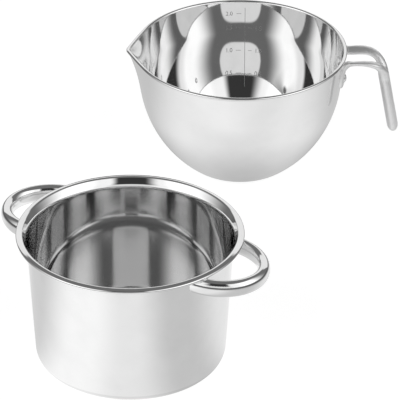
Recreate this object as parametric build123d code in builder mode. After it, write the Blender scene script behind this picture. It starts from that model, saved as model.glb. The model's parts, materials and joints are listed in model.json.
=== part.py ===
from build123d import *
from math import acos, asin, atan2, cos, degrees, radians, sin, sqrt, tan
import os

os.makedirs("parts", exist_ok=True)

# Double boiler: a pot with two loop handles, and the bowl that hangs in its mouth.
# The bowl stands beside the pot here. Millimetres, +Z up, origin at the middle of the pot's base.

# Sheet that both vessels are drawn from
pot_sheet = 0.8
bowl_sheet = 0.8
cut_overrun = 6.0

# Bowl: a wide leaning wall above one long curve down to a small flat foot
bowl_place_x = 90.2
bowl_place_y = 317.5
bowl_turn_angle = 1.5
bowl_height = 112.0
bowl_rim_radius = 91.2
bowl_lean_angle = 5.0
bowl_straight = 31.5
bowl_foot_radius = 41.3
bowl_foot_corner = 16.0
bead_radius = 1.7
bead_sink_share = 0.7

# Spout pressed into the bowl's rim, on the side away from the handle
spout_pull = 7.4
spout_tip_radius = 6.0
spout_drop = 34.0

# Pot: a slightly tapered wall, a flare that the bowl seats on, a flat brim rolled down at its edge
bowl_seat_height = 53.0
pot_height = 115.0
pot_taper_angle = 3.4
pot_flare_curve = 8.5
pot_flare_angle = 33.0
pot_flare_length = 3.0
pot_brim_curve = 1.4
pot_brim_width = 3.2
pot_edge_curve = 0.8
pot_edge_angle = 70.0
pot_base_corner = 11.0

# Thick base of the pot, which lifts the floor inside
pot_floor_height = 9.0
pot_floor_corner = 8.0

# Loop handles of the pot, a tall oval rod bent into a bow
loop_turn_angles = [-26.7, 145.6]
half_turn_angle = 180
loop_below_lip = 10.3
loop_drop_angle = 2.3
loop_bow_reach = 32.5
loop_bow_depth = 39.5
loop_half_span = 34.2
loop_half_width = 5.0
loop_half_height = 7.2
loop_leg_root = 9.0

# Handle of the bowl: two arms that run out from tabs on the wall, bend down and join in a grip
arm_below_rim = 10.0
grip_reach = 32.4
grip_lean_angle = 10.5
grip_bend_radius = 16.0
grip_end_below_rim = 82.5
grip_half_width = 9.0
grip_half_depth = 4.8
grip_wall = 1.1
notch_below_rim = 20.5
arm_half_spread = 12.9
arm_half_width = 4.9
arm_half_depth = 2.5
arm_tilt_angle = 20.0
tab_half_spread = 16.0
tab_half_width = 7.5
tab_depth = 2.8
tab_sink = 0.8
tab_bend_radius = 8.0
tab_end_below_rim = 30.0
tab_tip_shares = [0.6, 0.8]
tab_turn_share = 0.95
bend_middle_share = 0.5
bend_spread_share = 0.85
bend_depth_share = 0.65
grip_start_shares = [0.7, 0.9]
grip_join_shares = [0.47, 0.85]
grip_round_share = 0.7
seam_shift = 0.8

# Rivets through the tabs and the bowl's wall
rivet_below_rim = 22.0
rivet_shank_radius = 2.2
rivet_head_radius = 4.2
rivet_head_rise = 2.0
rivet_back_radius = 3.6
rivet_back_rise = 1.2
rivet_seat = 0.4
rivet_back_gap = 0.08

up = Vector(0, 0, 1)
bowl_lean = radians(bowl_lean_angle)
bowl_turn = radians(bowl_turn_angle)
bowl_base = Plane(
    origin=(bowl_place_x, bowl_place_y, 0),
    x_dir=(cos(bowl_turn), sin(bowl_turn), 0),
    z_dir=(0, 0, 1),
)
bowl_side = Plane(origin=bowl_base.origin, x_dir=bowl_base.x_dir, z_dir=-bowl_base.y_dir)
bowl_axis = Axis(bowl_base.origin, up)

# The bowl's long curve is tangent to the leaning wall and ends on the foot
knee_radius = bowl_rim_radius - bowl_straight * sin(bowl_lean)
knee_height = bowl_height - bowl_straight * cos(bowl_lean)
knee_run = (knee_radius - bowl_foot_radius) * cos(bowl_lean) - knee_height * sin(bowl_lean)
bowl_curve_radius = ((knee_radius - bowl_foot_radius) ** 2 + knee_height**2) / (2 * knee_run)
curve_centre_radius = knee_radius - bowl_curve_radius * cos(bowl_lean)
curve_centre_height = knee_height + bowl_curve_radius * sin(bowl_lean)

# Heights that hang from the bowl's rim and the pot's lip, and the spout's reach past the rim
rim_level = bowl_height - bead_radius
spout_start_height = bowl_height - spout_drop
spout_reach = bowl_rim_radius + spout_pull
arm_level = bowl_height - arm_below_rim
tab_end_height = bowl_height - tab_end_below_rim
rivet_height = bowl_height - rivet_below_rim
notch_height = bowl_height - notch_below_rim
grip_end_height = bowl_height - grip_end_below_rim
loop_level = pot_height - loop_below_lip


def bowl_radius(height, inset=0):
    # Radius of the bowl's outer face at a height, or of a face inside it by the inset
    if height > knee_height:
        return bowl_rim_radius - (bowl_height - height) * tan(bowl_lean) - inset / cos(bowl_lean)
    return curve_centre_radius + sqrt((bowl_curve_radius - inset) ** 2 - (curve_centre_height - height) ** 2)


def bowl_body(inset, top):
    # Solid turned from the bowl's outer face, or from the face inside it by the inset
    radius = bowl_curve_radius - inset
    foot_angle = asin((curve_centre_height - inset) / radius)
    middle_angle = (foot_angle + bowl_lean) / 2
    foot = (curve_centre_radius + radius * cos(foot_angle), inset)
    middle = (
        curve_centre_radius + radius * cos(middle_angle),
        curve_centre_height - radius * sin(middle_angle),
    )
    knee = (
        curve_centre_radius + radius * cos(bowl_lean),
        curve_centre_height - radius * sin(bowl_lean),
    )
    rim = (knee[0] + (top - knee[1]) * tan(bowl_lean), top)
    with BuildPart() as body:
        with BuildSketch(bowl_side) as bowl_section:
            with BuildLine():
                Line((0, inset), foot)
                ThreePointArc(foot, middle, knee)
                Polyline(knee, rim, (0, top), (0, inset))
            make_face()
            foot_corner = bowl_section.vertices().sort_by_distance(foot)[0]
            fillet(foot_corner, bowl_foot_corner - inset)
        revolve(axis=bowl_axis)
    return body.part


def spout_outline(reach, tip_radius, wall_radius):
    # Tip arc, its end and the tangent point on the wall's circle, on the spout's own axis
    spread = acos((wall_radius - tip_radius) / (reach - tip_radius))
    tip_end = (tip_radius * cos(spread) - tip_radius + reach, tip_radius * sin(spread))
    wall_end = (wall_radius * cos(spread), wall_radius * sin(spread))
    return tip_end, wall_end


def spout_body(inset, top):
    # The beak, which slants out of the wall from its start up to the rim
    start_reach = bowl_radius(spout_start_height)
    slope = (spout_reach - start_reach) / (rim_level - spout_start_height)
    top_reach = start_reach + slope * (top - spout_start_height)
    radius = spout_tip_radius - inset
    tip, wall = spout_outline(spout_reach - inset, radius, bowl_radius(rim_level, inset))
    with BuildPart() as body:
        for level, reach in [(spout_start_height, start_reach), (top, top_reach)]:
            back = spout_reach - reach
            with BuildSketch(bowl_base.offset(level)):
                with BuildLine():
                    ThreePointArc((back - tip[0], tip[1]), (inset - reach, 0), (back - tip[0], -tip[1]))
                    Polyline(
                        (back - tip[0], -tip[1]),
                        (back - wall[0], -wall[1]),
                        (back - wall[0], wall[1]),
                        (back - tip[0], tip[1]),
                    )
                make_face()
        loft(ruled=True)
    return body.part


# Bowl: wall, spout and rolled rim in one sheet
wall_tops = [rim_level + cut_overrun, rim_level + cut_overrun * 2, rim_level + cut_overrun * 3]
bowl_outer = bowl_body(0, wall_tops[0]) + spout_body(0, wall_tops[1])
bowl_inner = bowl_body(bowl_sheet, wall_tops[1]) + spout_body(bowl_sheet, wall_tops[2])
bead_shift = bead_radius * bead_sink_share - bowl_sheet
bead_circle = bowl_radius(rim_level) + bead_shift
bead_reach = spout_reach + bead_shift
bead_tip_radius = spout_tip_radius + bead_shift
bead_tip, bead_wall = spout_outline(bead_reach, bead_tip_radius, bead_circle)
with BuildPart() as rolled_rim:
    with BuildLine(bowl_base.offset(rim_level)) as rim_path:
        ThreePointArc((-bead_wall[0], bead_wall[1]), (bead_circle, 0), (-bead_wall[0], -bead_wall[1]))
        Line((-bead_wall[0], -bead_wall[1]), (-bead_tip[0], -bead_tip[1]))
        ThreePointArc((-bead_tip[0], -bead_tip[1]), (-bead_reach, 0), (-bead_tip[0], bead_tip[1]))
        Line((-bead_tip[0], bead_tip[1]), (-bead_wall[0], bead_wall[1]))
    with BuildSketch(Plane(origin=rim_path.line @ 0, z_dir=rim_path.line % 0)):
        Circle(bead_radius)
    sweep(path=rim_path.line)
with BuildPart() as bowl_wall:
    add(bowl_outer)
    add(bowl_inner, mode=Mode.SUBTRACT)
    split(bisect_by=bowl_base.offset(rim_level), keep=Keep.BOTTOM)
bowl_shell_solid = bowl_wall.part + rolled_rim.part

# Side path of the bowl's handle, as corners in reach and height
tab_bearing = asin(tab_half_spread / bowl_radius(rivet_height))
grip_lean = radians(grip_lean_angle)
corner_reach = bowl_radius(arm_level) + grip_reach
tab_top_reach = bowl_radius(arm_level, tab_sink) * cos(tab_bearing)
tab_end_reach = bowl_radius(tab_end_height, tab_sink) * cos(tab_bearing)
tab_lean = atan2(tab_top_reach - tab_end_reach, arm_level - tab_end_height)
tab_tangent = tab_bend_radius * tan(radians(45) - tab_lean / 2)
grip_tangent = grip_bend_radius * tan(radians(45) - grip_lean / 2)


def grip_point(height):
    # Point of the grip's middle line at a height
    return corner_reach + (arm_level - height) * tan(grip_lean), height


def bend_point(share):
    # Point and heading on the middle line of the big bend, from the arms to the grip
    turn = share * (radians(90) - grip_lean)
    reach = corner_reach - grip_tangent + grip_bend_radius * sin(turn)
    height = arm_level - grip_bend_radius * (1 - cos(turn))
    return reach, height, turn


def tab_point(height):
    # Point of the tab's middle line at a height
    return tab_end_reach + (height - tab_end_height) * tan(tab_lean), height


def handle_plane(reach, height, sideways, heading, bearing, tilt, side):
    # Plane across the handle's run: heading is 0 outwards and a quarter turn straight up
    outward = bowl_base.x_dir * cos(bearing) + bowl_base.y_dir * (side * sin(bearing))
    level = bowl_base.y_dir * (side * cos(bearing)) - bowl_base.x_dir * sin(bearing)
    forward = outward * cos(heading) + up * sin(heading)
    rise = up * cos(heading) - outward * sin(heading)
    across = level * cos(tilt) + rise * sin(tilt)
    place = bowl_base.origin + bowl_base.x_dir * reach + bowl_base.y_dir * (sideways * side) + up * height
    return Plane(origin=place, x_dir=across, z_dir=forward)


# Stations of one arm: reach, height, sideways, heading, bearing, tilt, half width, half depth
tilt = radians(arm_tilt_angle)
tab_up = radians(90) - tab_lean
tab_low = tab_point(tab_end_height + tab_half_width / 2)
tab_high = tab_point(arm_level - tab_tangent)
tab_turn = (
    tab_high[0] + tab_bend_radius * (cos(tab_lean) - cos(radians(45) + tab_lean / 2)),
    tab_high[1] + tab_bend_radius * (sin(radians(45) + tab_lean / 2) - sin(tab_lean)),
)
bend_mid = bend_point(bend_middle_share)
bend_end = bend_point(1)
grip_join = grip_point(bend_end[1] - grip_half_width)
widths = [tab_half_width, arm_half_width, grip_half_width / 2]
depths = [tab_depth + tab_sink, arm_half_depth]
bend_width = (tab_half_width + arm_half_width) / 2
bend_depth = (depths[0] + arm_half_depth) / 2
tab_tip = (widths[0] * tab_tip_shares[0], depths[0] * tab_tip_shares[1])
tab_turn_spread = tab_half_spread * tab_turn_share
bend_mid_spread = arm_half_spread * bend_spread_share
bend_mid_depth = grip_half_depth * bend_depth_share
grip_start = (grip_half_width * grip_start_shares[0], grip_half_depth * grip_start_shares[1])
grip_merge = (grip_half_width * grip_join_shares[0], grip_half_depth * grip_join_shares[1])
tab_stations = [
    (*tab_point(tab_end_height), tab_half_spread, tab_up, tab_bearing, 0, tab_tip[0], tab_tip[1]),
    (*tab_low, tab_half_spread, tab_up, tab_bearing, 0, widths[0], depths[0]),
    (*tab_high, tab_half_spread, tab_up, tab_bearing, 0, widths[0], depths[0]),
    (*tab_turn, tab_turn_spread, tab_up / 2, tab_bearing / 2, tilt / 2, bend_width, bend_depth),
    (tab_high[0] + tab_tangent, arm_level, arm_half_spread, 0, 0, tilt, widths[1], depths[1]),
]
arm_stations = [
    tab_stations[-1],
    (*bend_point(0)[:2], arm_half_spread, 0, 0, tilt, widths[1], depths[1]),
    (*bend_mid[:2], bend_mid_spread, -bend_mid[2], 0, tilt / 2, widths[1], bend_mid_depth),
    (*bend_end[:2], grip_start[0], -bend_end[2], 0, 0, widths[2], grip_start[1]),
    (*grip_join, grip_merge[0], -bend_end[2], 0, 0, widths[2], grip_merge[1]),
]


def handle_arm(side, stations):
    with BuildPart() as arm:
        for *place, half_width, half_depth in stations:
            with BuildSketch(handle_plane(*place, side)):
                Ellipse(half_width, half_depth)
        loft()
    return arm.part


# Grip: a straight oval run with rounded ends
grip_down = grip_lean - radians(90)


def grip_body(inset):
    half_width = grip_half_width - inset
    half_depth = grip_half_depth - inset
    reach = grip_half_width * grip_round_share
    top = handle_plane(*grip_point(notch_height - reach), 0, grip_down, 0, 0, 1)
    bottom = handle_plane(*grip_point(grip_end_height + reach), 0, grip_down, 0, 0, 1)
    length = (bottom.origin - top.origin).length
    with BuildPart() as unit_ball:
        Sphere(1)
    rounded = scale(unit_ball.part, by=(half_width, half_depth, reach - inset))
    with BuildPart() as body:
        with BuildSketch(top):
            Ellipse(half_width, half_depth)
        extrude(amount=length)
        add(top.location * rounded)
        add(bottom.location * rounded)
    return body.part


handle_whole = grip_body(0)
for side in [1, -1]:
    handle_whole += handle_arm(side, tab_stations)
    handle_whole += handle_arm(side, arm_stations)
handle_whole = handle_whole - bowl_outer - grip_body(grip_wall)

# Under half of the handle, inside the seam that follows the side path
with BuildPart() as seam_inside:
    with BuildSketch(bowl_side):
        with BuildLine():
            low_tab = (tab_end_reach + tab_sink + tab_depth / 2, tab_end_height - cut_overrun)
            low_grip = grip_point(grip_end_height - cut_overrun)
            FilletPolyline(
                low_tab,
                (tab_top_reach + tab_sink + tab_depth / 2, arm_level + seam_shift),
                (corner_reach + seam_shift, arm_level + seam_shift),
                (low_grip[0] + seam_shift, low_grip[1]),
                radius=[tab_bend_radius, grip_bend_radius],
            )
            Line((low_grip[0] + seam_shift, low_grip[1]), low_tab)
        make_face()
    extrude(amount=tab_half_spread * 2, both=True)


def dome_point(radius, rise):
    # Half-way point of a round head's arc, from the axis and down from its top
    ball = (radius**2 + rise**2) / (2 * rise)
    half_turn = asin(radius / ball) / 2
    return ball * sin(half_turn), ball * (1 - cos(half_turn))


# Rivets: one through each tab, with a domed head outside and a flat one inside
def rivet_body(side):
    wall_radius = bowl_radius(rivet_height)
    bearing = tab_bearing * side
    outward = bowl_base.x_dir * cos(bearing) + bowl_base.y_dir * sin(bearing)
    normal = outward * cos(bowl_lean) - up * sin(bowl_lean)
    place = bowl_base.origin + outward * wall_radius + up * rivet_height
    side_dir = up * cos(bowl_lean) + outward * sin(bowl_lean)
    section = Plane(origin=place, x_dir=side_dir, z_dir=side_dir.cross(normal))
    front = tab_depth - rivet_seat
    back = -bowl_sheet - rivet_back_gap
    outer_dome = dome_point(rivet_head_radius, rivet_head_rise)
    inner_dome = dome_point(rivet_back_radius, rivet_back_rise)
    outer_bulge = (outer_dome[0], front + rivet_head_rise - outer_dome[1])
    inner_bulge = (inner_dome[0], back - rivet_back_rise + inner_dome[1])
    with BuildPart() as body:
        with BuildSketch(section):
            with BuildLine():
                Line((0, back - rivet_back_rise), (0, front + rivet_head_rise))
                ThreePointArc((0, front + rivet_head_rise), outer_bulge, (rivet_head_radius, front))
                Polyline(
                    (rivet_head_radius, front),
                    (rivet_shank_radius, front),
                    (rivet_shank_radius, back),
                    (rivet_back_radius, back),
                )
                ThreePointArc((rivet_back_radius, back), inner_bulge, (0, back - rivet_back_rise))
            make_face()
        revolve(axis=Axis(place, normal))
    with BuildPart() as room:
        with BuildSketch(Plane(origin=place, z_dir=normal)):
            Circle(rivet_shank_radius)
        extrude(amount=cut_overrun, both=True)
        with BuildSketch(Plane(origin=place + normal * front, z_dir=normal)):
            Circle(rivet_head_radius)
        extrude(amount=cut_overrun)
    return body.part, room.part


rivet_back_solid, back_hole = rivet_body(1)
rivet_front_solid, front_hole = rivet_body(-1)
holes = back_hole + front_hole
bowl_shell_solid = bowl_shell_solid - holes
handle_whole = handle_whole - holes
handle_inner_solid = handle_whole & seam_inside.part
handle_outer_solid = handle_whole - seam_inside.part

with BuildPart() as bowl_shell:
    add(bowl_shell_solid)
with BuildPart() as handle_inner_shell:
    add(handle_inner_solid)
with BuildPart() as handle_outer_shell:
    add(handle_outer_solid)
with BuildPart() as rivet_back:
    add(rivet_back_solid)
with BuildPart() as rivet_front:
    add(rivet_front_solid)

# Pot: the flare's curve leans like the bowl's wall where the two meet
pot_taper = radians(pot_taper_angle)
pot_flare = radians(pot_flare_angle)
seat_radius = bowl_radius(bowl_seat_height)
seat_angle = atan2(curve_centre_height - bowl_seat_height, seat_radius - curve_centre_radius)
flare_top_curve = pot_flare_curve + pot_sheet
brim_top_curve = pot_brim_curve + pot_sheet
flare_centre_radius = seat_radius + flare_top_curve * cos(seat_angle)
flare_end_height = pot_height - brim_top_curve * (1 - sin(pot_flare))
flare_start_height = flare_end_height - pot_flare_length * cos(pot_flare)
flare_centre_height = flare_start_height - flare_top_curve * sin(pot_flare)


def wall_end(curve):
    # Where the wall's face ends and the flare's face starts, with the flare's radius on that face
    return flare_centre_radius - curve * cos(pot_taper), flare_centre_height + curve * sin(pot_taper)


def wall_foot(start, height):
    return start[0] - (start[1] - height) * tan(pot_taper), height


def flare_lines(gain):
    # Flare of one face of the sheet: gain is nothing on the under face and the sheet on the top face
    heading = (sin(pot_taper), cos(pot_taper))
    radius = pot_flare_curve + gain
    curve = JernArc(wall_end(radius), heading, radius, pot_taper_angle - pot_flare_angle)
    slant = Line(curve @ 1, curve @ 1 + (curve % 1) * pot_flare_length)
    return slant


def brim_lines(slant, gain):
    # Turn into the flat brim and the roll down at its edge, on one face of the sheet
    turn = JernArc(slant @ 1, slant % 1, pot_brim_curve + gain, pot_flare_angle - 90)
    flat = Line(turn @ 1, turn @ 1 + (turn % 1) * pot_brim_width)
    return JernArc(flat @ 1, flat % 1, pot_edge_curve + gain, -pot_edge_angle)


outer_start = wall_end(pot_flare_curve)
outer_foot = wall_foot(outer_start, 0)
inner_start = wall_end(flare_top_curve)
inner_foot = wall_foot(inner_start, pot_floor_height)
with BuildPart() as pot_shell:
    with BuildSketch(Plane.XZ) as pot_section:
        with BuildLine():
            Polyline((0, 0), outer_foot, outer_start)
            outer_edge = brim_lines(flare_lines(0), 0)
            Polyline((0, 0), (0, pot_floor_height), inner_foot, inner_start)
            inner_edge = brim_lines(flare_lines(pot_sheet), pot_sheet)
            Line(outer_edge @ 1, inner_edge @ 1)
        make_face()
        fillet(pot_section.vertices().sort_by_distance(outer_foot)[0], pot_base_corner)
        fillet(pot_section.vertices().sort_by_distance(inner_foot)[0], pot_floor_corner)
    revolve(axis=Axis.Z)

# Solid that fills the pot, to cut the handles' ends to its wall
with BuildPart() as pot_filled:
    with BuildSketch(Plane.XZ):
        with BuildLine():
            Polyline((0, pot_height), (0, 0), outer_foot, outer_start)
            slant_end = flare_lines(0) @ 1
            Polyline(slant_end, (slant_end.X, pot_height), (0, pot_height))
        make_face()
    revolve(axis=Axis.Z)

# Loop handles: each bow is swept on its own slightly sloping plane
loops = []
for turn_angle in loop_turn_angles:
    turn = radians(turn_angle)
    drop = radians(loop_drop_angle)
    outward = Vector(cos(turn), sin(turn), 0)
    along = outward * cos(drop) - up * sin(drop)
    flat = outward * sin(drop) + up * cos(drop)
    bow = Plane(origin=outward * outer_start[0] + up * loop_level, x_dir=along, z_dir=flat)
    bow_centre = loop_bow_reach - loop_bow_depth
    bow_root = bow_centre - loop_leg_root
    bow_middle = (bow_centre, 0)
    with BuildPart() as loop_rod:
        with BuildLine(bow) as bow_path:
            Line((bow_root, -loop_half_span), (bow_centre, -loop_half_span))
            EllipticalCenterArc(bow_middle, loop_bow_depth, loop_half_span, -90, arc_size=half_turn_angle)
            Line((bow_centre, loop_half_span), (bow_root, loop_half_span))
        with BuildSketch(Plane(origin=bow_path.line @ 0, x_dir=bow.y_dir, z_dir=bow_path.line % 0)):
            Ellipse(loop_half_width, loop_half_height)
        sweep(path=bow_path.line)
    loops.append(loop_rod.part - pot_filled.part)

pieces = [
    ("pot_shell", pot_shell.part),
    ("pot_handle_right", loops[0]),
    ("pot_handle_left", loops[1]),
    ("bowl_shell", bowl_shell.part),
    ("handle_outer_shell", handle_outer_shell.part),
    ("handle_inner_shell", handle_inner_shell.part),
    ("rivet_front", rivet_front.part),
    ("rivet_back", rivet_back.part),
]
for name, piece in pieces:
    piece.label = name
    export_step(piece, "parts/" + name + ".step")
    box = piece.bounding_box()
    print(name, len(piece.solids()), "volume", round(piece.volume), "box", box.min, box.max)
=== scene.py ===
# Double boiler: a polished pot with two loop handles, and its bowl with a spout and a forked handle
import bmesh
import bpy
import json
import math
from mathutils import Matrix, Vector

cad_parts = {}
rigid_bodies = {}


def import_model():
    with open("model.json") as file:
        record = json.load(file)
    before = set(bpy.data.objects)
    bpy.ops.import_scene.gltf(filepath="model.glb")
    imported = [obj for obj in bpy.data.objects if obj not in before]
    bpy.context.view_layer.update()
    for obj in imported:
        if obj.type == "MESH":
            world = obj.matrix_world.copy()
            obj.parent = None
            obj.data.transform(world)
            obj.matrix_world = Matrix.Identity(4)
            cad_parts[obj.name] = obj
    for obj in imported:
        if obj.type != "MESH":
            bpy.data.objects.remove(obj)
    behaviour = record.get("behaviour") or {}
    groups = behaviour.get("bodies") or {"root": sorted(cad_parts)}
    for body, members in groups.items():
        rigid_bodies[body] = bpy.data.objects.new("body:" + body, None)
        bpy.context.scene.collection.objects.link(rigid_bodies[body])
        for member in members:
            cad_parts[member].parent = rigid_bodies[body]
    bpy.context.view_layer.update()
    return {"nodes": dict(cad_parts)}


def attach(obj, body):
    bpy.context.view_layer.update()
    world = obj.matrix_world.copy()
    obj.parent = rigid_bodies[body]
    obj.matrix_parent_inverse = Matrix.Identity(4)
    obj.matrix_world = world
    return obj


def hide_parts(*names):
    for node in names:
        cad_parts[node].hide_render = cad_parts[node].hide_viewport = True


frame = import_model()
mm = 0.001
closestPoints = 0.004  # profile points nearer than this, in millimetres, are one
mergeGap = 0.002 * mm  # and so are vertices nearer than this
print("frame loaded")


# small helpers for modelling
def deselectAll():
    if bpy.context.object and bpy.context.object.mode != "OBJECT":
        bpy.ops.object.mode_set(mode="OBJECT")
    bpy.ops.object.select_all(action="DESELECT")


def makeActive(piece):
    deselectAll()
    piece.select_set(True)
    bpy.context.view_layer.objects.active = piece


def selectWhere(piece, test):
    # in edit mode: select the vertices whose place passes the test
    mesh = bmesh.from_edit_mesh(piece.data)
    for vertex in mesh.verts:
        vertex.select = bool(test(vertex.co))
    mesh.select_flush(True)
    mesh.select_flush(False)
    bmesh.update_edit_mesh(piece.data)


def mergeDoubles():
    bpy.ops.mesh.select_all(action="SELECT")
    bpy.ops.mesh.remove_doubles(threshold=mergeGap)


def drawProfile(name, points):
    # trace a line of edges from a single vertex, as a start for a spin
    deselectAll()
    bpy.ops.mesh.primitive_plane_add(size=mm)
    piece = bpy.context.object
    piece.name = piece.data.name = name
    bpy.ops.object.mode_set(mode="EDIT")
    bpy.ops.mesh.select_all(action="SELECT")
    bpy.ops.mesh.merge(type="CENTER")
    bpy.ops.transform.translate(value=points[0])
    for here, there in zip(points, points[1:]):
        bpy.ops.mesh.extrude_region_move(TRANSFORM_OT_translate={"value": there - here})
    return piece


def spinProfile(centre, steps):
    # turn the profile round an upright axis and close it up
    bpy.ops.mesh.select_all(action="SELECT")
    bpy.ops.mesh.spin(steps=steps, angle=math.tau, center=centre, axis=(0, 0, 1))
    mergeDoubles()
    bpy.ops.mesh.normals_make_consistent(inside=False)


def finishPiece(piece, body, smoothAngle=35):
    # smooth shading over edges flatter than the angle, and a body to ride on
    makeActive(piece)
    bpy.ops.object.shade_smooth_by_angle(angle=math.radians(smoothAngle))
    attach(piece, body)


# profiles are lists of (distance from the axis, height), in millimetres and degrees
def arcPoints(centre, radius, start, end, count):
    turns = [math.radians(start + (end - start) * k / count) for k in range(count + 1)]
    return [(centre[0] + radius * math.cos(t), centre[1] + radius * math.sin(t)) for t in turns]


def linePoints(start, end, count):
    return [
        (start[0] + (end[0] - start[0]) * k / count, start[1] + (end[1] - start[1]) * k / count)
        for k in range(count + 1)
    ]


def joinRuns(*runs):
    # one list of profile points, without the repeats where runs meet
    points = []
    for run in runs:
        for point in run:
            if not points or math.dist(points[-1], point) > closestPoints:
                points.append(point)
    return points


# bowl, in millimetres and degrees
bowl = {
    "centre": (90.2, 317.5),
    "turn": 1.5,  # the spout points to -X, turned by this
    "height": 112.0,
    "rimRadius": 91.2,
    "lean": 5.0,  # of the wall under the rim
    "straight": 31.5,  # length of that wall, over the curved one
    "footRadius": 41.3,
    "footCorner": 16.0,
    "sheet": 0.8,
    "bead": 1.7,  # radius of the rolled rim
    "beadShift": 0.36,  # the roll lies this far outside the wall's line
    "beadArc": (-113, 180),
    "wallEnd": 1.4,  # the outer wall ends this far under the roll's middle
    "spoutPull": 6.6,  # how far the rim goes out at the spout's tip
    "spoutSpread": 37.0,  # how far round and down the wall follows
    "spoutTip": 3.6,  # what lies this near to the tip goes all the way
    "steps": 288,
}
lean = math.radians(bowl["lean"])
rimLevel = bowl["height"] - bowl["bead"]
knee = (
    bowl["rimRadius"] - bowl["straight"] * math.sin(lean),
    bowl["height"] - bowl["straight"] * math.cos(lean),
)
# the curved wall is an arc that runs from the foot's edge and meets the leaning wall at the knee
kneeRun = (knee[0] - bowl["footRadius"]) * math.cos(lean) - knee[1] * math.sin(lean)
curve = ((knee[0] - bowl["footRadius"]) ** 2 + knee[1] ** 2) / (2 * kneeRun)
curveCentre = (knee[0] - curve * math.cos(lean), knee[1] + curve * math.sin(lean))
bowlCentre = Vector((*bowl["centre"], 0)) * mm
bowlTurn = math.radians(bowl["turn"])
bowlOut = Vector((math.cos(bowlTurn), math.sin(bowlTurn), 0))  # from the axis towards the handle


def bowlWall(inset, low, high):
    # the curved and the leaning wall, from a height up to another
    radius = curve - inset
    foot = -math.degrees(math.asin((curveCentre[1] - low) / radius))
    bend = arcPoints(curveCentre, radius, foot, -bowl["lean"], count=60)
    top = (bend[-1][0] + (high - bend[-1][1]) * math.tan(lean), high)
    return bend + linePoints(bend[-1], top, count=12)[1:]


def bowlFoot(inset):
    # flat foot and its small corner, met by the curve a little above the floor
    radius = bowl["footCorner"] - inset
    outer = curve - inset
    centreHeight = inset + radius
    reach = math.sqrt((outer - radius) ** 2 - (curveCentre[1] - centreHeight) ** 2)
    centre = (curveCentre[0] + reach, centreHeight)
    meet = math.degrees(math.atan2(centre[1] - curveCentre[1], reach))
    corner = arcPoints(centre, radius, -90, meet, count=14)
    return joinRuns(linePoints((0, inset), (centre[0], inset), count=12), corner)


outerFoot = bowlFoot(0)
outerWall = bowlWall(0, outerFoot[-1][1], rimLevel - bowl["wallEnd"])
innerFoot = bowlFoot(bowl["sheet"])
innerWall = bowlWall(bowl["sheet"], innerFoot[-1][1], rimLevel)
beadCentre = (bowl["rimRadius"] - bowl["bead"] * math.tan(lean) + bowl["beadShift"], rimLevel)
bead = arcPoints(beadCentre, bowl["bead"], *bowl["beadArc"], count=26)
bowlProfile = joinRuns(outerFoot, outerWall, bead, reversed(innerWall), reversed(innerFoot))
bowlPoints = [bowlCentre - bowlOut * r * mm + Vector((0, 0, z)) * mm for r, z in bowlProfile]
bowlShell = drawProfile("bowlShell", bowlPoints)
spinProfile(bowlCentre, bowl["steps"])

# press the spout: pull the rim out at the tip, with a fall-off down and along the wall
tip = bowlCentre - bowlOut * bowl["rimRadius"] * mm + Vector((0, 0, rimLevel)) * mm
bpy.ops.mesh.select_all(action="DESELECT")
selectWhere(bowlShell, lambda place: (place - tip).length < bowl["spoutTip"] * mm)
bpy.ops.transform.translate(
    value=-bowlOut * bowl["spoutPull"] * mm,
    use_proportional_edit=True,
    proportional_edit_falloff="SHARP",
    proportional_size=bowl["spoutSpread"] * mm,
)
finishPiece(bowlShell, "bowl")
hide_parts("bowl_shell")
print("bowl modelled", len(bowlShell.data.polygons))


# pot, in millimetres and degrees, with its axis at the origin
pot = {
    "height": 115.0,
    "sheet": 0.8,
    "taper": 3.4,
    "seatHeight": 53.0,  # height on the bowl's wall at which the flare's bend holds it
    "flareCurve": 8.5,  # radius of the bend between wall and flare
    "flareAngle": 36.0,
    "flareLength": 3.6,
    "brimCurve": 1.4,  # radius of the turn into the brim
    "brimFlat": 0.4,
    "brimFall": 14.0,  # slope of the brim, down to its edge
    "brimWidth": 2.2,
    "edgeCurve": 0.8,  # radius of the rolled edge
    "edgeEnd": -70.0,
    "baseCorner": 11.0,
    "floorHeight": 9.0,  # of the floor inside, over the thick base
    "floorCorner": 8.0,
    "steps": 288,
}
taper = math.radians(pot["taper"])
flare = math.radians(pot["flareAngle"])
fall = math.radians(pot["brimFall"])
seatRadius = curveCentre[0] + math.sqrt(curve**2 - (curveCentre[1] - pot["seatHeight"]) ** 2)
seatAngle = math.atan2(curveCentre[1] - pot["seatHeight"], seatRadius - curveCentre[0])
flareTop = pot["flareCurve"] + pot["sheet"]
flareRise = flareTop * math.sin(flare) + pot["flareLength"] * math.cos(flare)
brimRise = (pot["brimCurve"] + pot["sheet"]) * (1 - math.sin(flare))
flareCentre = (seatRadius + flareTop * math.cos(seatAngle), pot["height"] - brimRise - flareRise)


def cornerArc(foot, floor, radius):
    # rounded corner between a flat floor and the tapered wall, whose line has the foot's radius there
    wall = foot + radius * math.tan(taper)
    centre = (wall - radius / math.cos(taper), floor + radius)
    return arcPoints(centre, radius, -90, -pot["taper"], count=20)


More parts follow.
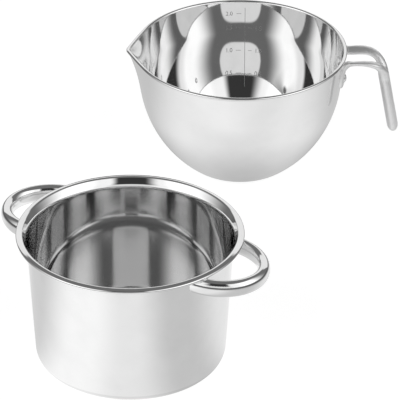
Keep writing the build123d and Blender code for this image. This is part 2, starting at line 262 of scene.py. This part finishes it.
def potSide(gain, floor, corner):
    # one face of the pot's sheet: floor, corner, tapered wall, flare, brim and rolled edge
    # the inner face gains a sheet's thickness on the radii of flare, brim and edge
    bendStart, bendEnd = 180 - pot["taper"], 180 - pot["flareAngle"]
    bend = arcPoints(flareCentre, pot["flareCurve"] + gain, bendStart, bendEnd, count=14)
    slant = pot["flareLength"]
    slantEnd = (bend[-1][0] + slant * math.sin(flare), bend[-1][1] + slant * math.cos(flare))
    turn = pot["brimCurve"] + gain
    turnCentre = (slantEnd[0] + turn * math.cos(flare), slantEnd[1] - turn * math.sin(flare))
    brim = arcPoints(turnCentre, turn, bendEnd, 90, count=12)
    flatEnd = (brim[-1][0] + pot["brimFlat"], brim[-1][1])
    width = pot["brimWidth"]
    fallEnd = (flatEnd[0] + width * math.cos(fall), flatEnd[1] - width * math.sin(fall))
    roll = pot["edgeCurve"] + gain
    rollCentre = (fallEnd[0] - roll * math.sin(fall), fallEnd[1] - roll * math.cos(fall))
    edge = arcPoints(rollCentre, roll, 90 - pot["brimFall"], pot["edgeEnd"], count=18)
    foot = bend[0][0] - (bend[0][1] - floor) * math.tan(taper)
    base = cornerArc(foot, floor, corner)
    return joinRuns(
        linePoints((0, floor), base[0], count=20),
        base,
        linePoints(base[-1], bend[0], count=30),
        bend,
        linePoints(bend[-1], slantEnd, count=5),
        brim,
        linePoints(flatEnd, fallEnd, count=4),
        edge,
    )


outerSide = potSide(0, 0, pot["baseCorner"])
innerSide = potSide(pot["sheet"], pot["floorHeight"], pot["floorCorner"])
edgeMiddle = ((outerSide[-1][0] + innerSide[-1][0]) / 2, (outerSide[-1][1] + innerSide[-1][1]) / 2)
lipEdge = arcPoints(edgeMiddle, pot["sheet"] / 2, pot["edgeEnd"] - 180, pot["edgeEnd"], count=8)
potProfile = joinRuns(outerSide, lipEdge, reversed(innerSide))
potShell = drawProfile("potShell", [Vector((r, 0, z)) * mm for r, z in potProfile])
spinProfile((0, 0, 0), pot["steps"])
finishPiece(potShell, "pot")
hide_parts("pot_shell")
print("pot modelled", len(potShell.data.polygons))


# smooth copies of the CAD pieces, which come as loose flat triangles
def smoothCopy(node, name, body):
    makeActive(frame["nodes"][node])
    bpy.ops.object.duplicate()
    piece = bpy.context.object
    piece.name = piece.data.name = name
    for mark in [key for key in piece.keys() if key.startswith("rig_")]:
        del piece[mark]
    bpy.ops.object.parent_clear(type="CLEAR_KEEP_TRANSFORM")
    bpy.ops.object.mode_set(mode="EDIT")
    mergeDoubles()
    finishPiece(piece, body, smoothAngle=40)
    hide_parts(node)
    return piece


copies = {
    "pot_handle_right": ("loopHandleRight", "pot"),
    "pot_handle_left": ("loopHandleLeft", "pot"),
    "handle_outer_shell": ("gripOuterShell", "bowl"),
    "handle_inner_shell": ("gripInnerShell", "bowl"),
    "rivet_front": ("rivetFront", "bowl"),
    "rivet_back": ("rivetBack", "bowl"),
}
pieces = {"bowlShell": bowlShell, "potShell": potShell}
for node, (name, body) in copies.items():
    pieces[name] = smoothCopy(node, name, body)
print("copies smoothed")


# capacity scale etched on the far side of the bowl's inside: a long line, short ticks and plain numbers
# in millimetres: heights over the table, and places to the right of the pot's axis
scale = {
    "lineX": 95.0,
    "lineWidth": 0.4,
    "low": 34.0,
    "high": 105.0,
    "tickWidth": 0.35,
    "leftTick": (87.1, 91.6),
    "rightTick": (97.9, 101.2),
    "leftText": 80.8,
    "rightText": 107.0,
    "textHeight": 3.9,
    "fontShare": 1.35,  # font size over the height of its digits
    "lift": 0.05,  # of the marks over the wall
    "left": {"2.0": 99.4, "1.5": 85.9, "1.0": 64.6, "0.5": 45.0},
    "right": {"1.5": 85.9, "1.0": 64.6, "0.5": 45.0},
}
facingFront = (math.radians(90), 0, 0)


def etchStrip(left, right, low, high, steps):
    # a thin strip, cut up along its length so that it can follow the wall
    deselectAll()
    upright = high - low > right - left
    bpy.ops.mesh.primitive_grid_add(
        x_subdivisions=1 if upright else steps,
        y_subdivisions=steps if upright else 1,
        size=mm,
        location=((left + right) / 2 * mm, bowlCentre.y, (low + high) / 2 * mm),
        rotation=facingFront,
    )
    bpy.ops.object.mode_set(mode="EDIT")
    bpy.ops.transform.resize(value=(right - left, 1, high - low))
    bpy.ops.object.mode_set(mode="OBJECT")
    return bpy.context.object


def etchNumber(text, middle, height):
    deselectAll()
    bpy.ops.object.text_add(location=(middle * mm, bowlCentre.y, height * mm), rotation=facingFront)
    number = bpy.context.object
    number.data.body = text
    number.data.size = scale["textHeight"] * scale["fontShare"] * mm
    number.data.align_x = "CENTER"
    number.data.align_y = "CENTER"
    bpy.ops.object.convert(target="MESH")
    return bpy.context.object


def etchMarks():
    # line, ticks and numbers, flat in the bowl's middle plane and joined into one piece
    half = scale["lineWidth"] / 2
    thin = scale["tickWidth"] / 2
    line = etchStrip(scale["lineX"] - half, scale["lineX"] + half, scale["low"], scale["high"], steps=70)
    marks = [line]
    for side in ("left", "right"):
        start, end = scale[side + "Tick"]
        for text, height in scale[side].items():
            marks.append(etchStrip(start, end, height - thin, height + thin, steps=8))
            marks.append(etchNumber(text, scale[side + "Text"], height))
    deselectAll()
    for mark in marks:
        mark.select_set(True)
    bpy.context.view_layer.objects.active = line
    bpy.ops.object.join()
    line.name = line.data.name = "capacityScale"
    bpy.ops.object.transform_apply(location=True, rotation=True, scale=True)
    return line


def layOnWall(marks):
    # push the flat marks back, away from the camera, until they lie on the bowl's wall
    wrap = marks.modifiers.new("wrap", "SHRINKWRAP")
    wrap.target = bowlShell
    wrap.wrap_method = "PROJECT"
    wrap.wrap_mode = "ABOVE_SURFACE"
    wrap.use_project_y = True
    wrap.use_positive_direction = True
    wrap.use_negative_direction = False
    wrap.offset = scale["lift"] * mm
    bpy.ops.object.modifier_apply(modifier="wrap")


pieces["capacityScale"] = etchMarks()
layOnWall(pieces["capacityScale"])
finishPiece(pieces["capacityScale"], "bowl")
print("capacity scale etched", len(pieces["capacityScale"].data.polygons))


# shader helpers: sums on wires read as sums
class Wire:
    def __init__(self, mixer, socket):
        self.mixer = mixer
        self.socket = socket

    def maths(self, operation, *others):
        return self.mixer.add("Math", self, *others, operation=operation)

    def __add__(self, other):
        return self.maths("ADD", other)

    __radd__ = __add__

    def __sub__(self, other):
        return self.maths("SUBTRACT", other)

    def __rsub__(self, other):
        return self.maths("MULTIPLY", -1.0) + other

    def __mul__(self, other):
        return self.maths("MULTIPLY", other)

    __rmul__ = __mul__

    def __truediv__(self, other):
        return self.maths("DIVIDE", other)

    def __rtruediv__(self, other):
        return self.maths("POWER", -1.0) * other

    def __pow__(self, other):
        return self.maths("POWER", other)

    def __abs__(self):
        return self.maths("ABSOLUTE")

    def ramp(self, low, high, bottom=0.0, top=1.0):
        # smooth step from bottom to top as the value goes from low to high
        return self.mixer.add(
            "MapRange", self, float(low), float(high), bottom, top, interpolation_type="SMOOTHSTEP"
        )


class Mixer:
    # builds one shader tree; numbers and wires are given the same way
    def __init__(self, tree):
        self.tree = tree
        tree.nodes.clear()

    def newNode(self, kind, *values, named=None, **settings):
        # settings come first, then what goes into the sockets, in their order or by name
        node = self.tree.nodes.new("ShaderNode" + kind)
        for key, value in settings.items():
            setattr(node, key, value)
        for socket, value in zip(node.inputs, values):
            self.join(socket, value)
        for key, value in (named or {}).items():
            self.join(node.inputs[key], value)
        return node

    def join(self, socket, value):
        if isinstance(value, Wire):
            self.tree.links.new(value.socket, socket)
        elif value is not None:
            socket.default_value = value

    def add(self, kind, *values, out=0, **choices):
        return Wire(self, self.newNode(kind, *values, **choices).outputs[out])

    def place(self, centre=(0, 0, 0)):
        # object coordinates in millimetres, measured from a centre
        perMetre = (1 / mm,) * 3
        return self.add("Mapping", self.add("TexCoord", out="Object"), -Vector(centre), None, perMetre)

    def split(self, vector):
        return [Wire(self, socket) for socket in self.newNode("SeparateXYZ", vector).outputs]

    def noise(self, vector, frequency, detail):
        return self.add("TexNoise", vector, named={"Scale": frequency, "Detail": detail})

    def colour(self, factor, first, second):
        # sockets 6 and 7 of a Mix node are its two colours, and output 2 is the mixed one
        return self.add("Mix", factor, named={6: first, 7: second}, out=2, data_type="RGBA")

    def metal(self, tone, roughness, metallic=1.0, bump=None):
        sockets = {"Base Color": tone, "Metallic": metallic, "Roughness": roughness, "Normal": bump}
        self.finish(self.add("BsdfPrincipled", named=sockets))

    def finish(self, shader, kind="Material"):
        self.newNode("Output" + kind, shader)


def newMaterial(name):
    material = bpy.data.materials.new(name)
    material.use_nodes = True
    return material, Mixer(material.node_tree)


def grey(value):
    return (value, value, value, 1.0)


def asGrey(mix, light):
    return mix.add("CombineXYZ", light, light, light)


def blend(first, second, share):
    return first * (1.0 - share) + share * second


# finishes: a centre in mm, brightness, roughness, and the roughness that polishing lines and smudges add
finishes = {
    "potSteel": {
        "centre": (0, 0, 0),
        "shade": 0.86, "roughness": 0.045, "lines": 0.02, "smudge": 0.015,
    },
    "bowlSteel": {
        "centre": (*bowl["centre"], 0),
        "shade": 0.86, "roughness": 0.035, "lines": 0.015, "smudge": 0.015,
    },
    "rivetSteel": {
        "centre": (178.0, 317.5, 90.0),
        "shade": 0.84, "roughness": 0.12, "lines": 0.03, "smudge": 0.05,
    },
}
polish = {
    "ringScale": 1.7,  # rings to a millimetre, about
    "ringDetail": 3.0,
    "hazeScale": 0.035,  # and soft patches
    "hazeDetail": 3.0,
    "smudgeEdge": (0.45, 0.75),
    "toneEdge": (0.35, 0.7),
    "hazeShade": 0.965,
    "bumpStrength": 0.04,
    "bumpDepth": 0.02,
}
# the inside of the pot: painted shade makes it less bright up to the flare, and it is duller on its
# brushed floor
potInsideShadeAndBrushing = {
    # painted shade: brightness of the inside, as a share of the outside's
    "shade": 0.86,
    "brushed": 0.12,
    "floorTop": (9.5, 17.0),
    "floorEdge": (66.0, 74.0),
    "wallGap": (-0.6, -0.2),  # from the outer wall's line, so within the sheet
    "bottom": (2.0, 6.0),
    "top": (96.0, 104.0),
}
# radius of the pot's outer wall, where its line meets the table
wallFoot = flareCentre[0] - pot["flareCurve"] / math.cos(taper) - flareCentre[1] * math.tan(taper)


def turnedSteel(name, centre, shade, roughness, lines, smudge, inside=None):
    # polished steel with faint rings left by the polishing wheel and a soft haze in places
    material, mix = newMaterial(name)
    place = mix.place(centre)
    x, y, z = mix.split(place)
    radius = (x * x + y * y) ** 0.5
    ringPlace = mix.add("CombineXYZ", radius * polish["ringScale"], z * polish["ringScale"], 0.0)
    rings = mix.noise(ringPlace, 1.0, polish["ringDetail"])
    haze = mix.noise(place, polish["hazeScale"], polish["hazeDetail"])
    spread = roughness + (rings - 0.5) * lines + haze.ramp(*polish["smudgeEdge"]) * smudge
    tone = mix.colour(haze.ramp(*polish["toneEdge"]), grey(shade), grey(shade * polish["hazeShade"]))
    if inside:
        floor = (1.0 - z.ramp(*inside["floorTop"])) * (1.0 - radius.ramp(*inside["floorEdge"]))
        spread = spread + floor * inside["brushed"]
        # painted shade: the inside, from near the bottom up to the flare, gets a darker colour than the
        # outside
        wall = wallFoot + z * math.tan(taper)
        within = (1.0 - (radius - wall).ramp(*inside["wallGap"])) * z.ramp(*inside["bottom"])
        within = within * (1.0 - z.ramp(*inside["top"]))
        tone = mix.colour(within, tone, grey(shade * inside["shade"]))
    strength, depth = polish["bumpStrength"], polish["bumpDepth"] * mm
    bump = mix.add("Bump", named={"Strength": strength, "Distance": depth, "Height": rings})
    mix.metal(tone, spread, bump=bump)
    return material


satin = {
    "grainScale": (2.2, 9.0, 0.35),  # strokes to a millimetre: long in height, as the grip hangs
    "grainDetail": 4.0,
    "grainEdge": (0.3, 0.7),
    "hazeScale": 0.06,
    "hazeDetail": 2.0,
    "shades": (0.90, 0.96),
    "roughness": 0.46,
    "grainSpread": 0.12,
    "hazeSpread": 0.08,
    "bumpStrength": 0.06,
    "bumpDepth": 0.03,
}


def satinSteel(name):
    # stamped handle, brushed to a satin sheen
    material, mix = newMaterial(name)
    place = mix.place()
    strokes = [part * share for part, share in zip(mix.split(place), satin["grainScale"])]
    grain = mix.noise(mix.add("CombineXYZ", *strokes), 1.0, satin["grainDetail"])
    haze = mix.noise(place, satin["hazeScale"], satin["hazeDetail"])
    dull, bright = satin["shades"]
    tone = mix.colour(grain.ramp(*satin["grainEdge"]), grey(dull), grey(bright))
    spread = satin["roughness"] + (grain - 0.5) * satin["grainSpread"] + (haze - 0.5) * satin["hazeSpread"]
    strength, depth = satin["bumpStrength"], satin["bumpDepth"] * mm
    bump = mix.add("Bump", named={"Strength": strength, "Distance": depth, "Height": grain})
    mix.metal(tone, spread, bump=bump)
    return material


etch = {
    "grainScale": 1.6,
    "grainDetail": 3.0,
    "grainEdge": (0.3, 0.7),
    "shades": (0.42, 0.55),
    "metallic": 0.6,
    "roughness": 0.5,
    "grainSpread": 0.2,
}


def etchedSteel(name):
    # dull etched marks, a little uneven
    material, mix = newMaterial(name)
    grain = mix.noise(mix.place(), etch["grainScale"], etch["grainDetail"])
    dark, pale = etch["shades"]
    tone = mix.colour(grain.ramp(*etch["grainEdge"]), grey(dark), grey(pale))
    mix.metal(tone, etch["roughness"] + (grain - 0.5) * etch["grainSpread"], etch["metallic"])
    return material


steels = {
    "potSteel": turnedSteel("potSteel", **finishes["potSteel"], inside=potInsideShadeAndBrushing),
    "bowlSteel": turnedSteel("bowlSteel", **finishes["bowlSteel"]),
    "rivetSteel": turnedSteel("rivetSteel", **finishes["rivetSteel"]),
    "gripSteel": satinSteel("gripSteel"),
    "etchedSteel": etchedSteel("etchedSteel"),
}
# what each piece wears, and the record's slot for it; the etched marks have none
wears = {
    "potShell": ("potSteel", "polished_steel"),
    "loopHandleRight": ("potSteel", "polished_steel"),
    "loopHandleLeft": ("potSteel", "polished_steel"),
    "bowlShell": ("bowlSteel", "polished_steel"),
    "rivetFront": ("rivetSteel", "polished_steel"),
    "rivetBack": ("rivetSteel", "polished_steel"),
    "gripOuterShell": ("gripSteel", "satin_steel"),
    "gripInnerShell": ("gripSteel", "satin_steel"),
    "capacityScale": ("etchedSteel", None),
}
for name, (steel, slot) in wears.items():
    pieces[name].data.materials.clear()
    pieces[name].data.materials.append(steels[steel])
print("finishes on")


# studio: white surroundings for the camera, and soft boxes that the metal mirrors
# how bright each is, and where it fades, in degrees: edges are round the object, from 0 behind it
# to 180 at the camera, and tops and bottoms are up from the floor
studio = {
    "dark": 0.17,  # what no box covers, the ceiling too
    "ceilingBottom": (52, 62),
    "back": 0.90,  # rounded card behind the object
    "backHalf": 45.0,
    "backMiddle": 10.0,
    "backRise": 28.0,
    "backPower": 4.0,  # rounds the card's corners
    "backFade": (0.85, 1.2),  # of its size, to that power
    "side": 1.35,  # boxes at both sides, which go round to the front
    "sideEdge": (60, 112),
    "sideTop": (48, 58),
    "front": 1.05,
    "frontEdge": (128, 146),
    "frontLow": 0.80,
    "frontLowEdge": (150, 162),
    "frontLowTop": (20.5, 22.5),
    "gap": 0.04,  # dark gap round the camera
    "gapLeft": (146, 164),
    "gapRight": (156, 166),
    "gapBottom": (21.0, 23.5),
    "middle": (-0.01, 0.01),  # where left turns to right, as a direction's X
    "horizon": 0.12,
    "horizonTop": (2, 7),
    "mirrorings": 12,  # enough for light that goes to and fro inside the pot
}
perRadian = 180 / math.pi  # degrees in a radian


def paintWorld():
    world = bpy.data.worlds.new("studio")
    bpy.context.scene.world = world
    world.use_nodes = True
    mix = Mixer(world.node_tree)
    x, y, z = mix.split(mix.add("TexCoord", out="Generated"))
    rise = z.maths("ARCSINE") * perRadian
    azimuth = abs(x.maths("ARCTAN2", y)) * perRadian
    below = 1.0 - rise.ramp(*studio["sideTop"])
    right = x.ramp(*studio["middle"])

    cardRise = abs(rise - studio["backMiddle"]) / studio["backRise"]
    power = studio["backPower"]
    card = (azimuth / studio["backHalf"]) ** power + cardRise ** power
    behind = 1.0 - card.ramp(*studio["backFade"])
    light = studio["dark"] + behind * (studio["back"] - studio["dark"])

    boxes = azimuth.ramp(*studio["sideEdge"]) * below
    light = light + boxes * (studio["side"] - studio["dark"])
    front = azimuth.ramp(*studio["frontEdge"]) * below
    light = light - front * (studio["side"] - studio["front"])

    gap = azimuth.ramp(*studio["gapLeft"]) * (1.0 - right) + azimuth.ramp(*studio["gapRight"]) * right
    light = blend(light, studio["gap"], gap * rise.ramp(*studio["gapBottom"]))
    frontLow = azimuth.ramp(*studio["frontLowEdge"]) * (1.0 - rise.ramp(*studio["frontLowTop"]))
    light = blend(light, studio["frontLow"], frontLow)
    light = blend(light, studio["dark"], rise.ramp(*studio["ceilingBottom"]))
    light = blend(studio["horizon"], light, rise.ramp(*studio["horizonTop"]))

    surround = mix.add("Background", asGrey(mix, light), 1.0)
    white = mix.add("Background", grey(1.0), 1.0)
    seen = mix.add("LightPath", out="Is Camera Ray")
    mix.finish(mix.add("MixShader", seen, surround, white), "World")


# floor: near white for the camera, with the object's shadow, and shaded rings where the metal mirrors it
# lengths in metres
floorLook = {
    "size": 8.0,
    "drop": 0.0003,  # under the object
    "shadowShade": 0.5,  # takes the shadow, and the glow lifts it to white
    "glow": 0.80,
    "plainShade": 0.8,  # for all light but what is seen or mirrored
    "bowlReach": (0.030, 0.125),  # from the bowl's axis, dimmer at the inner end
    "bowlInner": 0.62,
    "backEdge": (0.12, 0.20),  # behind the pot's axis, where the bowl's ring takes over
    "far": 0.12,
    "farEdge": (0.30, 0.75),
}
# each step is an angle where it starts and ends, 0 at the camera's side, and what it adds to the light
floorRings = {
    "pot": {
        "centre": (0.0, 0.0),
        "start": 1.0,
        "steps": [
            (-165, -112, -0.30), (-100, -52, 0.39), (-35, -5, -0.17),
            (5, 40, -0.29), (55, 100, 0.24), (112, 165, 0.13),
        ],
    },
    "bowl": {
        "centre": [part * mm for part in bowl["centre"]],
        "start": 0.62,
        "steps": [(-115, -50, 0.33), (-42, -5, -0.11), (5, 42, 0.09), (50, 115, -0.31)],
    },
}


def floorRing(mix, place, centre, start, steps):
    # light round a vessel by the angle, and the distance from its axis
    x, y = mix.split(place)[:2]
    x, y = x - centre[0], y - centre[1]
    angle = x.maths("ARCTAN2", y * -1.0) * perRadian
    light = start
    for low, high, gain in steps:
        light = angle.ramp(low, high) * gain + light
    return light, (x * x + y * y) ** 0.5


def paintFloor():
    deselectAll()
    bpy.ops.mesh.primitive_plane_add(size=floorLook["size"], location=(0, 0, -floorLook["drop"]))
    floor = bpy.context.object
    floor.name = "studioFloor"
    material, mix = newMaterial("studioFloor")
    place = mix.add("TexCoord", out="Object")

    matt = mix.add("BsdfDiffuse", grey(floorLook["shadowShade"]))
    glow = mix.add("Emission", grey(1.0), floorLook["glow"])
    seenFloor = mix.add("AddShader", matt, glow)

    potLight, potReach = floorRing(mix, place, **floorRings["pot"])
    bowlLight, bowlReach = floorRing(mix, place, **floorRings["bowl"])
    bowlLight = bowlLight * bowlReach.ramp(*floorLook["bowlReach"], floorLook["bowlInner"], 1.0)
    near = blend(potLight, bowlLight, mix.split(place)[1].ramp(*floorLook["backEdge"]))
    reach = potReach.maths("MINIMUM", bowlReach)
    mirroredLight = blend(near, floorLook["far"], reach.ramp(*floorLook["farEdge"]))
    mirrored = mix.add("Emission", asGrey(mix, mirroredLight), 1.0)

    camera = mix.add("LightPath", out="Is Camera Ray")
    glossy = mix.add("LightPath", out="Is Glossy Ray")
    plainFloor = mix.add("BsdfDiffuse", grey(floorLook["plainShade"]))
    unmirrored = mix.add("MixShader", camera, plainFloor, seenFloor)
    mix.finish(mix.add("MixShader", glossy, unmirrored, mirrored))
    floor.data.materials.append(material)


paintWorld()
paintFloor()

# camera at the photograph's viewing angle, in metres, degrees and millimetres of lens
cameraFacts = {
    "place": (0.0554, -2.4, 1.5485),
    "pitch": 30.343,
    "roll": 0.291,
    "lens": 316.5,
    "sensor": 36,
    "clip": (0.05, 50),
}
cameraData = bpy.data.cameras.new("camera")
camera = bpy.data.objects.new("camera", cameraData)
bpy.context.scene.collection.objects.link(camera)
cameraData.lens = cameraFacts["lens"]
cameraData.sensor_width = cameraFacts["sensor"]
cameraData.clip_start, cameraData.clip_end = cameraFacts["clip"]
camera.matrix_world = (
    Matrix.Translation(cameraFacts["place"])
    @ Matrix.Rotation(math.radians(90 - cameraFacts["pitch"]), 4, "X")
    @ Matrix.Rotation(math.radians(cameraFacts["roll"]), 4, "Z")
)
bpy.context.scene.camera = camera
bpy.context.scene.view_settings.view_transform = "Standard"
bpy.context.scene.cycles.glossy_bounces = studio["mirrorings"]
print("studio ready")
